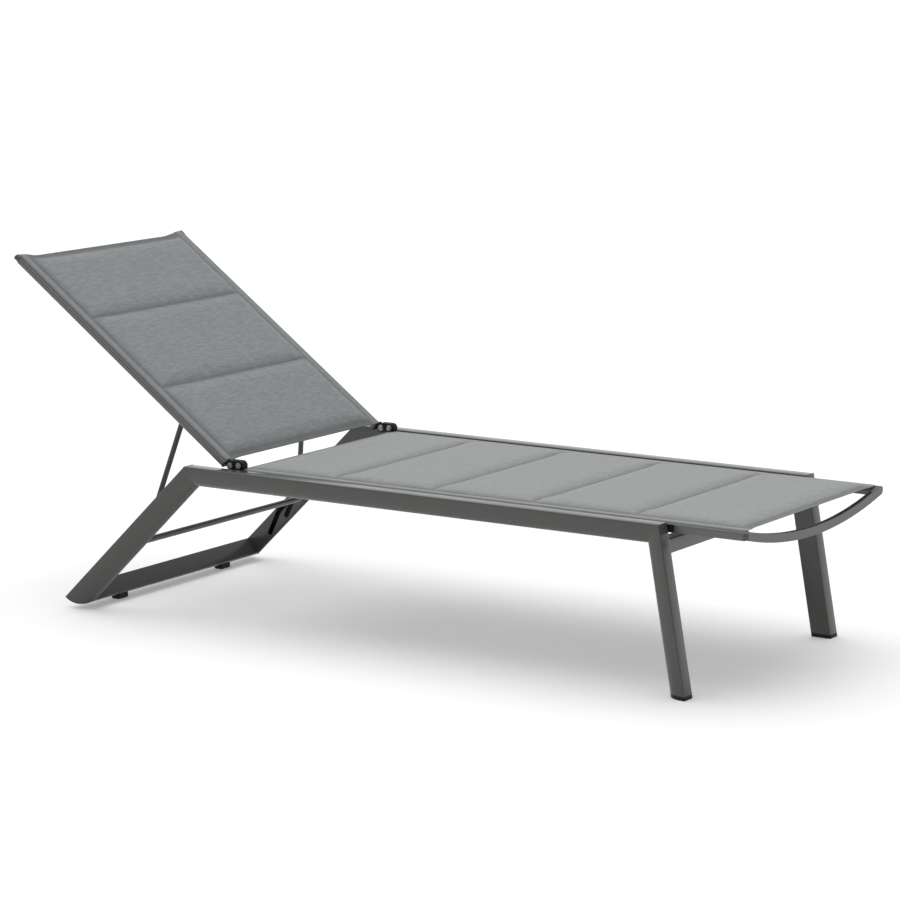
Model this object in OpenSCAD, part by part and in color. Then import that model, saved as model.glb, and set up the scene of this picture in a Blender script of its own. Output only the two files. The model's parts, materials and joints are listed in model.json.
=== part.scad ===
// Reclining sun lounger: mitred aluminium side frames, padded sling seat and backrest,
// and a swinging stay that props the backrest in a row of notches.
// Head end at -X, foot end at +X, left side at +Y, floor at z = 0.

/* [Side frames] */
// Overall width across the two side frames
frame_w = 700; // [580:5:860]
// Height of the side rail tops above the floor
rail_top = 348; // [300:2:420]
// Length of a side rail along its top edge
rail_len = 1152; // [950:2:1400]
// Depth of the D tube across its flat inner face
tube_deep = 45; // [38:1:54]
// Width of the D tube across its flat thick side
tube_thick = 35; // [29:1:42]
// Wall of the D tube
tube_wall = 2; // [1.5:0.5:3]
// Radius on the long edges of the D tube
tube_edge_r = 2; // [1:0.5:3]
// Lean of the front legs away from upright, in degrees
front_lean = 10.7; // [4:0.1:16]
// Slope of the rear legs above level, in degrees
rear_slope = 45; // [42:1:52]
// Gap between the rear floor bar and the floor
bar_clear = 10.7; // [8:0.1:16]

/* [Cross tubes and feet] */
// Height of the front cross tube
cross_h = 31; // [20:1:34]
// Depth of the front cross tube along the lounger
cross_d = 28; // [20:1:34]
// Top of the front cross tube below the side rail tops
cross_drop = 35; // [33:1:44]
// Height of the rear cross tube
rear_cross_h = 18; // [12:1:19]
// Depth of the rear cross tube along the lounger
rear_cross_d = 40; // [24:1:60]
// Wall of both cross tubes
cross_wall = 1.8; // [1.2:0.1:3]
// Height of the black cap under each front leg
foot_cap_h = 8; // [5:1:14]
// Length of a floor glide across the lounger
glide_l = 32; // [24:1:70]
// Width of a floor glide along the lounger
glide_w = 22; // [20:1:34]
// Distance of each floor glide from the middle plane
glide_y = 197; // [120:1:240]

/* [Sling rails] */
// Width of a sling rail
sling_rail_w = 25; // [22:1:32]
// Height of a seat sling rail
seat_rail_h = 18; // [17:1:26]
// Height of a backrest sling rail
back_rail_h = 13; // [12:1:20]
// Wall of a sling rail
sling_rail_wall = 1.8; // [1.2:0.1:2.4]
// Gap between a sling rail and the side rail beside it
side_gap = 5.6; // [5:0.2:12]
// Top of the seat sling rails below the side rail tops
seat_rail_drop = 3.5; // [2:0.5:6]
// Radius of the groove that holds the sling's edge cord
groove_r = 3.2; // [2.6:0.1:3.6]
// Opening of that groove
groove_gap = 2.4; // [2:0.1:3]
// Radius of the sling's edge cord
cord_r = 2.8; // [2.2:0.1:3]
// Thickness of the bowed bar that closes the ends of the sling rails
end_bar_t = 12; // [8:1:18]
// Sag of that bar in the middle
end_bar_sag = 34; // [20:1:50]

/* [Seat] */
// Length from the hinge axis to the foot ends of the seat rails
seat_len = 1226; // [1180:2:1500]
// Number of spreader tubes under the seat
seat_spreaders = 3; // [2:1:5]
// Thickness of the padded slings
pad_t = 8; // [5:0.5:12]
// Thickness of a sling where it lies on its rails
edge_t = 1.6; // [1:0.1:2.2]

/* [Backrest] */
// Length of the backrest from the hinge axis
back_len = 706; // [600:2:820]
// Angle of the backrest above level at rest, in degrees
rest_angle = 36; // [20:1:50]
// Hinge axis ahead of the rear bend of the side rails
hinge_setback = 92.5; // [70:0.5:120]
// Hinge axis above the side rail tops
hinge_rise = 6.2; // [4:0.2:14]
// Radius of the hinge bolts
hinge_bolt_r = 4; // [3:0.5:5]

/* [Stay and notches] */
// Number of notches in each rear leg
notches = 4; // [3:1:5]
// Notch that holds the stay at rest, counted from 0 at the bottom
rest_notch = 2; // [0:1:3]
// Distance of the lowest notch from the floor bar, along the leg
first_notch = 59; // [45:1:80]
// Spacing of the notches along the leg
notch_pitch = 65; // [56:1:70]
// Distance of the notch bottoms from the leg's thick side
notch_inset = 30.8; // [27:0.1:33]
// Width of the notch slot
slot_w = 12.6; // [10:0.2:14]
// Radius of the stay's cross bar
stay_bar_r = 7; // [5:0.5:9]
// Radius of the stay's arms
stay_arm_r = 6; // [4:0.5:7]
// Distance of the stay's pivots from the hinge axis, along the backrest
stay_pivot_s = 193; // [150:1:230]
// Distance of the stay's pivots below the backrest's face
stay_pivot_drop = 30; // [28:1:40]
// Distance of the stay's pivots in from the backrest rails
stay_pivot_in = 54.4; // [30:0.2:80]
// Radius of the stay's pivot pins
stay_pin_r = 4; // [3:0.5:5]

/* [Hidden] */
$fn = 48;
ARC_STEPS = 16; // flats along the curved side of the D tube
BIG = 900; // size of the blocks that trim tube ends

running_clear = 0.05; // a pin in its bore
slip_clear = 0.2; // a plug in a tube, within one body
swing_clear = 0.5; // faces that pass each other as a joint turns
open_clear = 1; // bar ends to leg faces, where the linkage is open

// Side frame outline, in the XZ plane, along the thick side of the tube
head_drop = seat_rail_drop + end_bar_sag + back_rail_h;
reach_foot = seat_len + end_bar_t;
reach_head = back_len * cos(rest_angle) + head_drop * sin(rest_angle);
hinge_x = (reach_head - reach_foot) / 2;
hinge_z = rail_top + hinge_rise;
bend_x = hinge_x - hinge_setback;
corner_x = bend_x + rail_len;
inner_y = frame_w / 2 - tube_thick;

rear_turn = 90 - rear_slope;
rail_turn = 90;
front_turn = 180 - front_lean;
bend_turn = (rear_turn + rail_turn) / 2;
corner_turn = (rail_turn + front_turn) / 2;

bar_z = bar_clear + norm([tube_deep * cos(rear_slope), tube_thick * sin(rear_slope)]);
bar_x = bend_x - (rail_top - bar_z) / tan(rear_slope);
bar_dip_t = atan2(tube_thick * sin(rear_slope), tube_deep * cos(rear_slope));
bar_low_x = bar_x + tube_deep * sin(rear_slope) * cos(bar_dip_t)
    - tube_thick * cos(rear_slope) * sin(bar_dip_t);

// Cross tubes
cross_top = rail_top - cross_drop;
cross_in = 8; // front cross tube behind the front legs' outer edge
cross_x = corner_x + (rail_top - cross_top + cross_h / 2) * tan(front_lean) - cross_in - cross_d / 2;
rear_cross_up = 2; // rear cross tube above the side rails' lower edge
rear_cross_top = rail_top - tube_deep + rear_cross_h + rear_cross_up;
rear_cross_s = 64; // rear cross tube ahead of the hinge axis
rear_cross_x = hinge_x + rear_cross_s;
cross_round = 3;
glide_hug = 20; // height to which a glide wraps the floor bar
glide_round = 2; // chamfer along a glide's lower edges

// Sling rails, in the YZ plane
rail_out_y = inner_y - side_gap;
rail_in_y = rail_out_y - sling_rail_w;
rail_mid_y = (rail_out_y + rail_in_y) / 2;
seat_rail_top = rail_top - seat_rail_drop;
groove_in = 7; // centre of the cord groove, in from the rail's outer face
groove_down = 4.8; // centre of the cord groove, below the rail's top
groove_y = rail_out_y - groove_in;
rail_round = 4;
rail_step_y = sling_rail_w - groove_in - groove_r - sling_rail_wall;
rail_step_z = seat_rail_h - groove_down - groove_r - sling_rail_wall;

// Slings
sling_gap = 8; // clear space between the padding and a rail
pad_y = rail_in_y - sling_gap;
fold_t = 1.2; // cloth that runs down into the groove
fold_bite = 0.3; // depth of that cloth inside the edge cord
pad_in = 2; // padding short of the rail ends
seat_pad_s = 16; // seat padding starts this far from the hinge axis

// Seat
seat_end_x = hinge_x + seat_len;
seat_rail_x = hinge_x + 38;
spreader_w = 30;
spreader_h = 10;
spreader_wall = 1.5;
spreader_gap = 2; // padding to the spreader tubes under it
spreader_top = seat_rail_top + seat_rail_drop - pad_t - spreader_gap;
seat_bolts_x = [seat_rail_x + 45, (seat_rail_x + corner_x) / 2, corner_x - 36];
spacer_l = [40, 40, 68]; // the front spacers show past the front legs
spacer_shift = [0, 0, 15];
seat_bolt_r = 3;
seat_bolt_head_r = 5.5;
seat_bolt_head_h = 3;
seat_nut_r = 4.5;
seat_nut_h = 4;
bolt_z = seat_rail_top - seat_rail_h + 6;
spacer_h = 16;
spacer_low = bolt_z - 4.5;

// Backrest, modelled lying level with the hinge axis at the origin and the head end at -X
back_rail_s = 15;
back_rail_end = back_len - end_bar_t;
back_rail_top = -seat_rail_drop;
back_pad_s = 24;
back_spreader_top = -pad_t - spreader_gap;

// Hinges
cheek_r = 11;
knuckle_r = 10.5;
tongue_w = 9;
hinge_w = 18; // across the bracket's two cheeks
hinge_in_y = rail_mid_y - hinge_w / 2;
hinge_out_y = rail_mid_y + hinge_w / 2;
clamp_dx = 22;
clamp_dz = 1;
clamp_r = 10;
bracket_base_s = 14; // from the hinge axis to the bracket's foot
flange_s = 12.5; // from the hinge axis to the tongue's flange
hinge_head_r = 7;
hinge_head_h = 5;
hinge_head_chamfer = 2;
hinge_nut_h = 4;
plug_l = 22;

// Stay
lug_r = 9;
lug_t = 3.5;
eye_r = 7.5;
eye_w = 18;
pin_head_r = 6.5;
pin_head_h = 3;
stay_pivot_y = rail_in_y - stay_pivot_in;
stay_arm_y = rail_out_y - 13;
stay_bar_y = rail_out_y - 5;
roller_r = slot_w / 2 - 0.5;
roller_stub_r = roller_r - 1.5;
roller_stub_l = 10; // length of a roller's stub inside the cross bar
pivot_x = hinge_x - stay_pivot_s * cos(rest_angle) - stay_pivot_drop * sin(rest_angle);
pivot_z = hinge_z + stay_pivot_s * sin(rest_angle) - stay_pivot_drop * cos(rest_angle);
slot_channel_inset = 10.3; // centre line of the channel, from the leg's thick side
branch_rise = 56; // length of a notch's branch along the leg
notch_w = first_notch + rest_notch * notch_pitch;
stay_x = bar_x + notch_w * cos(rear_slope) + notch_inset * sin(rear_slope);
stay_z = bar_z + notch_w * sin(rear_slope) - notch_inset * cos(rear_slope);

FRAME_PAINT = [0.31, 0.31, 0.3];
SEAT_CLOTH = [0.63, 0.64, 0.63];
BACK_CLOTH = [0.55, 0.56, 0.56];
BLACK_NYLON = [0.08, 0.08, 0.08];
STEEL = [0.6, 0.6, 0.6];

// Points of an arc, from angle a to angle b
function arc(cx, cy, r, a, b, steps = 4) =
    [for (i = [0:steps]) let (t = a + (b - a) * i / steps) [cx + r * cos(t), cy + r * sin(t)]];

function rounded_box(w, h, r) = concat(
    arc(w - r, r, r, -90, 0), arc(w - r, h - r, r, 0, 90),
    arc(r, h - r, r, 90, 180), arc(r, r, r, 180, 270));

// D section: x runs in from the thick side, y runs out from the flat inner face
function d_outline(deep, thick, r) = let (
    t0 = asin(r / deep), t1 = acos(r / thick),
    top = thick * cos(t0) - r, tip = deep * sin(t1) - r) concat(
    arc(r, r, r, 270, 180),
    arc(r, top, r, 180, 90),
    [for (i = [1:ARC_STEPS - 1]) let (t = t0 + (t1 - t0) * i / ARC_STEPS)
        [deep * sin(t), thick * cos(t)]],
    arc(tip, r, r, 0, -90));

// Hollow of the D section, a wall thickness w inside it
function d_hollow(w) = let (a = tube_deep - w, b = tube_thick - w,
    t0 = asin(w / a), t1 = acos(w / b)) concat([[w, w]],
    [for (i = [0:ARC_STEPS]) let (t = t0 + (t1 - t0) * i / ARC_STEPS) [a * sin(t), b * cos(t)]]);

module both_sides() {
    children();
    mirror([0, 1, 0]) children();
}

module side(s) {
    if (s > 0) children();
    else mirror([0, 1, 0]) children();
}

module d_tube(length) {
    linear_extrude(length) difference() {
        polygon(d_outline(tube_deep, tube_thick, tube_edge_r));
        polygon(d_hollow(tube_wall));
    }
}

module d_solid(length) {
    linear_extrude(length) polygon(d_outline(tube_deep, tube_thick, tube_edge_r));
}

// Everything past a plane through point p, square to direction turn in the XZ plane
module past(p, turn) {
    translate([p[0], 0, p[1]]) rotate([0, turn, 0]) translate([-BIG / 2, -BIG / 2, 0]) cube(BIG);
}

module before(p, turn) {
    translate([p[0], 0, p[1]]) rotate([0, turn, 0]) translate([-BIG / 2, -BIG / 2, -BIG]) cube(BIG);
}

// A profile drawn in XZ and extruded from y0 to y1
module along_y(y0, y1) {
    translate([0, y1, 0]) rotate([90, 0, 0]) linear_extrude(y1 - y0) children();
}

// A profile drawn in YZ and extruded from x0 to x1
module along_x(x0, x1) {
    translate([x0, 0, 0]) rotate([90, 0, 90]) linear_extrude(x1 - x0) children();
}

module rod_y(x, z, y0, y1, r) {
    translate([x, y1, z]) rotate([90, 0, 0]) cylinder(h = y1 - y0, r = r);
}

module rod(a, b, r) {
    v = b - a;
    translate(a) rotate([0, acos(v[2] / norm(v)), atan2(v[1], v[0])]) cylinder(h = norm(v), r = r);
}

module slot_2d(a, b, w) {
    v = b - a;
    turn = atan2(v[1], v[0]);
    polygon(concat(arc(b[0], b[1], w / 2, turn - 90, turn + 90, 8),
        arc(a[0], a[1], w / 2, turn + 90, turn + 270, 8)));
}

// Places a piece modelled level on the raised backrest
module on_back() {
    translate([hinge_x, 0, hinge_z]) rotate([0, rest_angle, 0]) children();
}

// ---- side frames ----

module side_rail(s) {
    color(FRAME_PAINT) side(s) difference() {
        translate([bend_x - tube_deep, inner_y, rail_top]) rotate([0, rail_turn, 0])
            d_tube(rail_len + 2 * tube_deep);
        before([bend_x, rail_top], bend_turn);
        past([corner_x, rail_top], corner_turn);
        for (x = seat_bolts_x)
            rod_y(x, bolt_z, inner_y - 1, inner_y + tube_wall + 1, seat_bolt_r + slip_clear);
    }
}

module front_leg_place() {
    translate([corner_x, inner_y, rail_top]) rotate([0, front_turn, 0])
        translate([0, 0, -tube_deep]) children();
}

front_leg_run = rail_top / cos(front_lean) + 3 * tube_deep;

module front_leg(s) {
    color(FRAME_PAINT) side(s) difference() {
        front_leg_place() d_tube(front_leg_run);
        before([corner_x, rail_top], corner_turn);
        past([corner_x, foot_cap_h], 180);
    }
}

module front_foot_cap(s) {
    color(BLACK_NYLON) side(s) {
        difference() {
            front_leg_place() d_solid(front_leg_run);
            past([corner_x, 0], 180);
            before([corner_x, foot_cap_h], 180);
        }
        difference() {
            front_leg_place() linear_extrude(front_leg_run) polygon(d_hollow(tube_wall + slip_clear));
            past([corner_x, foot_cap_h - 1], 180);
            before([corner_x, foot_cap_h + plug_l], 180);
        }
    }
}

module rear_leg_place() {
    translate([bar_x, 0, bar_z]) rotate([0, rear_turn, 0]) children();
}

// Profile of the notch slot: x in from the thick side, y up along the leg
module notch_slot_2d() {
    branch = [slot_channel_inset - notch_inset, branch_rise];
    for (k = [0:notches - 1]) {
        bottom = [notch_inset, first_notch + k * notch_pitch];
        slot_2d(bottom, bottom + branch, slot_w);
    }
    slot_2d([slot_channel_inset, first_notch + branch_rise],
        [slot_channel_inset, first_notch + branch_rise + (notches - 1) * notch_pitch], slot_w);
}

module rear_leg(s) {
    leg_run = (rail_top - bar_z) / sin(rear_slope);
    color(FRAME_PAINT) side(s) difference() {
        rear_leg_place() difference() {
            translate([0, inner_y, -tube_deep]) d_tube(leg_run + 3 * tube_deep);
            translate([0, inner_y, 0]) rotate([-45, 0, 0])
                translate([-BIG / 2, -BIG / 2, -BIG]) cube(BIG);
            translate([0, inner_y + tube_wall + 1, 0]) rotate([90, 0, 0])
                linear_extrude(tube_wall + 2) notch_slot_2d();
        }
        past([bend_x, rail_top], bend_turn);
    }
}

module rear_floor_bar() {
    color(FRAME_PAINT) rear_leg_place() difference() {
        translate([0, -frame_w / 2, 0]) rotate([-90, 0, 0]) d_tube(frame_w);
        both_sides() translate([0, inner_y, 0]) rotate([-45, 0, 0])
            translate([-BIG / 2, -BIG / 2, 0]) cube(BIG);
    }
}

module box_tube(x, z_top, w, h, y) {
    translate([x - w / 2, 0, z_top - h]) along_y(-y, y) difference() {
        polygon(rounded_box(w, h, cross_round));
        translate([cross_wall, cross_wall])
            polygon(rounded_box(w - 2 * cross_wall, h - 2 * cross_wall, cross_round - 1));
    }
}

module front_cross_tube() {
    color(FRAME_PAINT) box_tube(cross_x, cross_top, cross_d, cross_h, inner_y);
}

module rear_cross_tube() {
    color(FRAME_PAINT) box_tube(rear_cross_x, rear_cross_top, rear_cross_d, rear_cross_h, inner_y);
}

module floor_glide(s) {
    color(BLACK_NYLON) side(s) difference() {
        translate([bar_low_x - glide_w / 2, 0, 0]) along_y(glide_y - glide_l / 2, glide_y + glide_l / 2)
            polygon([[glide_round, 0], [glide_w - glide_round, 0], [glide_w, glide_round],
                [glide_w, glide_hug], [0, glide_hug], [0, glide_round]]);
        rear_leg_place() rotate([-90, 0, 0]) d_solid(frame_w / 2);
    }
}

// ---- sling rails ----

// Solid sling rail of height h with its cord groove: x out from the inner face, y up from the bottom
module grooved_rail_2d(h) {
    difference() {
        polygon(rounded_box(sling_rail_w, h, rail_round));
        translate([sling_rail_w - groove_in, h - groove_down]) circle(r = groove_r);
        translate([sling_rail_w - groove_in - groove_gap / 2, h - groove_down])
            square([groove_gap, groove_down + 1]);
    }
}

// Seat rail section, hollow beside and under its groove
module seat_rail_2d() {
    w = sling_rail_wall;
    difference() {
        grooved_rail_2d(seat_rail_h);
        polygon([[w, w], [sling_rail_w - w, w], [sling_rail_w - w, rail_step_z],
            [rail_step_y, rail_step_z], [rail_step_y, seat_rail_h - w], [w, seat_rail_h - w]]);
    }
}

// Backrest rail section, hollow beside its groove
module back_rail_2d() {
    w = sling_rail_wall;
    difference() {
        grooved_rail_2d(back_rail_h);
        translate([w, w]) square([rail_step_y - w, back_rail_h - 2 * w]);
    }
}

// Plug that fits under the groove of a seat rail
module seat_plug_2d() {
    w = sling_rail_wall + slip_clear;
    translate([w, w]) square([sling_rail_w - 2 * w, rail_step_z - w - slip_clear]);
}

// Plug that fits beside the groove of a backrest rail
module back_plug_2d() {
    w = sling_rail_wall + slip_clear;
    translate([w, w]) square([rail_step_y - slip_clear - w, back_rail_h - 2 * w]);
}

module seat_rail(s) {
    color(FRAME_PAINT) side(s) difference() {
        along_x(seat_rail_x, seat_end_x)
            translate([rail_in_y, seat_rail_top - seat_rail_h]) seat_rail_2d();
        for (x = seat_bolts_x)
            rod_y(x, bolt_z, rail_in_y - 1, rail_out_y + 1, seat_bolt_r + slip_clear);
    }
}

module back_rail(s) {
    color(FRAME_PAINT) side(s) on_back() along_x(-back_rail_end, -back_rail_s)
        translate([rail_in_y, back_rail_top - back_rail_h]) back_rail_2d();
}

// Bowed bar of height h with round ends: hangs from x = 0, thickness towards +X, rail tops at z = 0
module bowed_bar(h) {
    chord = rail_mid_y;
    arc_r = (chord * chord + end_bar_sag * end_bar_sag) / (2 * end_bar_sag);
    half = asin((rail_out_y - h / 2) / arc_r);
    groove = 5;
    centre_r = arc_r + h / 2;
    translate([0, 0, arc_r - end_bar_sag]) rotate([0, 90, 0]) {
        difference() {
            rotate_extrude(angle = 2 * half, start = -half, $fn = 360)
                translate([arc_r, 0]) square([h, end_bar_t]);
            rotate_extrude(angle = 2 * half - 3, start = 1.5 - half, $fn = 360)
                translate([arc_r - 1, (end_bar_t - groove) / 2]) square([groove + 1, groove]);
        }
        for (a = [-half, half])
            rotate(a) translate([centre_r, 0, 0]) cylinder(h = end_bar_t, d = h);
    }
}

module foot_bar() {
    color(FRAME_PAINT) translate([seat_end_x, 0, seat_rail_top]) bowed_bar(seat_rail_h);
}

module head_bar() {
    color(FRAME_PAINT) on_back() translate([-back_len, 0, back_rail_top]) bowed_bar(back_rail_h);
}

module spreader(x, z_top) {
    translate([x - spreader_w / 2, 0, z_top - spreader_h]) along_y(-rail_in_y, rail_in_y) difference() {
        polygon(rounded_box(spreader_w, spreader_h, 3));
        translate([spreader_wall, spreader_wall])
            polygon(rounded_box(spreader_w - 2 * spreader_wall, spreader_h - 2 * spreader_wall, 2));
    }
}

module seat_spreader_tubes() {
    step = seat_len / (seat_spreaders + 1);
    color(FRAME_PAINT) for (i = [1:seat_spreaders]) spreader(hinge_x + i * step, spreader_top);
}

module back_spreader_tube() {
    color(FRAME_PAINT) on_back() spreader(-stay_pivot_s, back_spreader_top);
}

// ---- slings ----

// A sling from x0 to x1 along rails whose tops are at z; its padding starts at pad_x0
module sling(x0, x1, pad_x0, pad_x1, z) {
    face = z + seat_rail_drop;
    translate([x0, -groove_y - fold_t / 2, z]) cube([x1 - x0, 2 * groove_y + fold_t, edge_t]);
    translate([pad_x0, -pad_y, face - pad_t]) cube([pad_x1 - pad_x0, 2 * pad_y, pad_t]);
    both_sides() translate([x0, groove_y - fold_t / 2, z - groove_down + cord_r - fold_bite])
        cube([x1 - x0, fold_t, groove_down - cord_r + fold_bite + edge_t]);
}

module sling_cords(x0, x1, z) {
    both_sides() difference() {
        translate([x0, groove_y, z - groove_down]) rotate([0, 90, 0]) cylinder(h = x1 - x0, r = cord_r);
        translate([x0 - 1, groove_y - fold_t / 2, z - groove_down + cord_r - fold_bite])
            cube([x1 - x0 + 2, fold_t, cord_r]);
    }
}

module seat_sling() {
    color(SEAT_CLOTH)
        sling(seat_rail_x, seat_end_x, hinge_x + seat_pad_s, seat_end_x - pad_in, seat_rail_top);
}

module seat_sling_cords() {
    color(BLACK_NYLON) sling_cords(seat_rail_x, seat_end_x, seat_rail_top);
}

module back_sling() {
    color(BACK_CLOTH) on_back()
        sling(-back_rail_end, -back_pad_s, pad_in - back_rail_end, -back_rail_s, back_rail_top);
}

module back_sling_cords() {
    color(BLACK_NYLON) on_back() sling_cords(-back_rail_end, -back_pad_s, back_rail_top);
}

// ---- seat rail fixings ----

module seat_rail_spacers() {
    color(BLACK_NYLON) both_sides() for (i = [0:2]) difference() {
        translate([seat_bolts_x[i] + spacer_shift[i] - spacer_l[i] / 2, rail_out_y, spacer_low])
            cube([spacer_l[i], side_gap, spacer_h]);
        rod_y(seat_bolts_x[i], bolt_z, rail_out_y - 1, inner_y + 1, seat_bolt_r + slip_clear);
    }
}

module seat_rail_bolts() {
    color(STEEL) both_sides() for (x = seat_bolts_x) {
        rod_y(x, bolt_z, rail_in_y - 1, inner_y + tube_wall + seat_nut_h, seat_bolt_r);
        rod_y(x, bolt_z, rail_in_y - seat_bolt_head_h, rail_in_y, seat_bolt_head_r);
        rod_y(x, bolt_z, inner_y + tube_wall, inner_y + tube_wall + seat_nut_h, seat_nut_r);
    }
}

// ---- hinges ----

module hinge_bracket(s) {
    base_x = hinge_x + bracket_base_s;
    clamp_x = hinge_x + clamp_dx;
    clamp_z = hinge_z + clamp_dz;
    low_z = seat_rail_top - seat_rail_h;
    color(BLACK_NYLON) side(s) difference() {
        union() {
            along_y(hinge_in_y, hinge_out_y) {
                translate([hinge_x, hinge_z]) circle(r = cheek_r);
                translate([clamp_x, clamp_z]) circle(r = clamp_r);
                translate([hinge_x, hinge_z - clamp_r + clamp_dz])
                    square([clamp_dx, clamp_r + cheek_r - clamp_dz]);
                translate([base_x, seat_rail_top])
                    square([clamp_dx + clamp_r - bracket_base_s, clamp_z - seat_rail_top]);
            }
            translate([base_x, rail_in_y, low_z])
                cube([seat_rail_x - base_x, sling_rail_w, seat_rail_top + edge_t - low_z]);
            along_x(seat_rail_x - 1, seat_rail_x + plug_l) translate([rail_in_y, low_z]) seat_plug_2d();
        }
        rod_y(hinge_x, hinge_z, rail_mid_y - tongue_w / 2 - swing_clear,
            rail_mid_y + tongue_w / 2 + swing_clear, knuckle_r + 1.5);
        translate([hinge_x - cheek_r - 2, rail_mid_y - tongue_w / 2 - swing_clear, hinge_z - cheek_r - 2])
            cube([cheek_r + 2, tongue_w + 2 * swing_clear, 2 * cheek_r + 4]);
        rod_y(hinge_x, hinge_z, rail_in_y - 1, rail_out_y + 1, hinge_bolt_r);
        rod_y(clamp_x, clamp_z, rail_in_y - 1, rail_out_y + 1, hinge_bolt_r);
    }
}

// Bolt with a low round head on the inner side
module hinge_bolt(x, z) {
    rod_y(x, z, hinge_in_y - 1, hinge_out_y + hinge_nut_h, hinge_bolt_r);
    translate([x, hinge_in_y, z]) rotate([90, 0, 0]) {
        cylinder(h = hinge_head_h - hinge_head_chamfer, r = hinge_head_r);
        translate([0, 0, hinge_head_h - hinge_head_chamfer])
            cylinder(h = hinge_head_chamfer, r1 = hinge_head_r, r2 = hinge_head_r - hinge_head_chamfer);
    }
}

module hinge_pivot_bolts() {
    color(STEEL) both_sides() hinge_bolt(hinge_x, hinge_z);
}

module hinge_clamp_bolts() {
    color(STEEL) both_sides() hinge_bolt(hinge_x + clamp_dx, hinge_z + clamp_dz);
}

module hinge_nuts() {
    color(STEEL) both_sides() for (p = [[0, 0], [clamp_dx, clamp_dz]]) difference() {
        rod_y(hinge_x + p[0], hinge_z + p[1], hinge_out_y, hinge_out_y + hinge_nut_h,
            hinge_bolt_r + 3, $fn = 6);
        rod_y(hinge_x + p[0], hinge_z + p[1], hinge_out_y - 1, hinge_out_y + hinge_nut_h + 1, hinge_bolt_r);
    }
}

module hinge_tongue(s) {
    low = back_rail_top - back_rail_h;
    color(BLACK_NYLON) side(s) on_back() difference() {
        union() {
            along_y(rail_mid_y - tongue_w / 2, rail_mid_y + tongue_w / 2) {
                circle(r = knuckle_r);
                translate([-back_rail_s, -knuckle_r]) square([back_rail_s, knuckle_r + 4]);
            }
            translate([-back_rail_s, rail_in_y, low])
                cube([back_rail_s - flange_s, sling_rail_w, back_rail_h]);
            along_x(-back_rail_s - plug_l, -back_rail_s + 1) translate([rail_in_y, low]) back_plug_2d();
        }
        rod_y(0, 0, rail_in_y, rail_out_y, hinge_bolt_r + running_clear);
    }
}

// ---- stay ----

module stay_lugs(s) {
    color(FRAME_PAINT) side(s) on_back() for (k = [-1, 1]) {
        y = stay_pivot_y + k * (eye_w / 2 + swing_clear + lug_t / 2);
        difference() {
            along_y(y - lug_t / 2, y + lug_t / 2) translate([-stay_pivot_s, -stay_pivot_drop]) {
                circle(r = lug_r);
                translate([-lug_r, 0])
                    square([2 * lug_r, stay_pivot_drop + back_spreader_top - spreader_h]);
            }
            rod_y(-stay_pivot_s, -stay_pivot_drop, y - lug_t, y + lug_t, stay_pin_r);
        }
    }
}

module stay_pivot_pins() {
    reach = eye_w / 2 + swing_clear + lug_t;
    color(STEEL) both_sides() on_back() {
        rod_y(-stay_pivot_s, -stay_pivot_drop, stay_pivot_y - reach - 2, stay_pivot_y + reach, stay_pin_r);
        rod_y(-stay_pivot_s, -stay_pivot_drop, stay_pivot_y + reach,
            stay_pivot_y + reach + pin_head_h, pin_head_r);
        rod_y(-stay_pivot_s, -stay_pivot_drop, stay_pivot_y - reach - pin_head_h,
            stay_pivot_y - reach, pin_head_r - 1);
    }
}

module stay_arm(s) {
    top = [pivot_x, stay_pivot_y, pivot_z];
    foot = [stay_x, stay_arm_y, stay_z];
    color(FRAME_PAINT) side(s) difference() {
        union() {
            rod_y(pivot_x, pivot_z, stay_pivot_y - eye_w / 2, stay_pivot_y + eye_w / 2, eye_r);
            rod(top, foot, stay_arm_r);
        }
        rod_y(pivot_x, pivot_z, stay_pivot_y - eye_w, stay_pivot_y + eye_w, stay_pin_r + running_clear);
        rod_y(stay_x, stay_z, 0, frame_w / 2, stay_bar_r);
    }
}

module stay_bar() {
    color(FRAME_PAINT) difference() {
        rod_y(stay_x, stay_z, -stay_bar_y, stay_bar_y, stay_bar_r);
        both_sides() rod_y(stay_x, stay_z, stay_bar_y - roller_stub_l, stay_bar_y + 1, roller_stub_r);
    }
}

module stay_end_rollers() {
    color(BLACK_NYLON) both_sides() {
        rod_y(stay_x, stay_z, stay_bar_y - roller_stub_l, stay_bar_y, roller_stub_r);
        rod_y(stay_x, stay_z, stay_bar_y, inner_y - open_clear, roller_r);
    }
}

side_rail(1);  // side_rail_left
side_rail(-1);  // side_rail_right
front_leg(1);  // front_leg_left
front_leg(-1);  // front_leg_right
rear_leg(1);  // rear_leg_left
rear_leg(-1);  // rear_leg_right
rear_floor_bar();
front_cross_tube();
rear_cross_tube();
front_foot_cap(1);  // front_foot_cap_left
front_foot_cap(-1);  // front_foot_cap_right
floor_glide(1);  // floor_glide_left
floor_glide(-1);  // floor_glide_right
seat_rail(1);  // seat_rail_left
seat_rail(-1);  // seat_rail_right
foot_bar();
seat_spreader_tubes();
seat_sling();
seat_sling_cords();
seat_rail_spacers();
seat_rail_bolts();
hinge_bracket(1);  // hinge_bracket_left
hinge_bracket(-1);  // hinge_bracket_right
hinge_pivot_bolts();
hinge_clamp_bolts();
hinge_nuts();
back_rail(1);  // back_rail_left
back_rail(-1);  // back_rail_right
head_bar();
back_spreader_tube();
back_sling();
back_sling_cords();
hinge_tongue(1);  // hinge_tongue_left
hinge_tongue(-1);  // hinge_tongue_right
stay_lugs(1);  // stay_lugs_left
stay_lugs(-1);  // stay_lugs_right
stay_pivot_pins();
stay_arm(1);  // stay_arm_left
stay_arm(-1);  // stay_arm_right
stay_bar();
stay_end_rollers();
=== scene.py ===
"""Looks of a reclining sun lounger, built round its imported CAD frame.

Head end at -X, foot end at +X, left side at +Y, floor at z = 0, metres throughout.
"""

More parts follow.
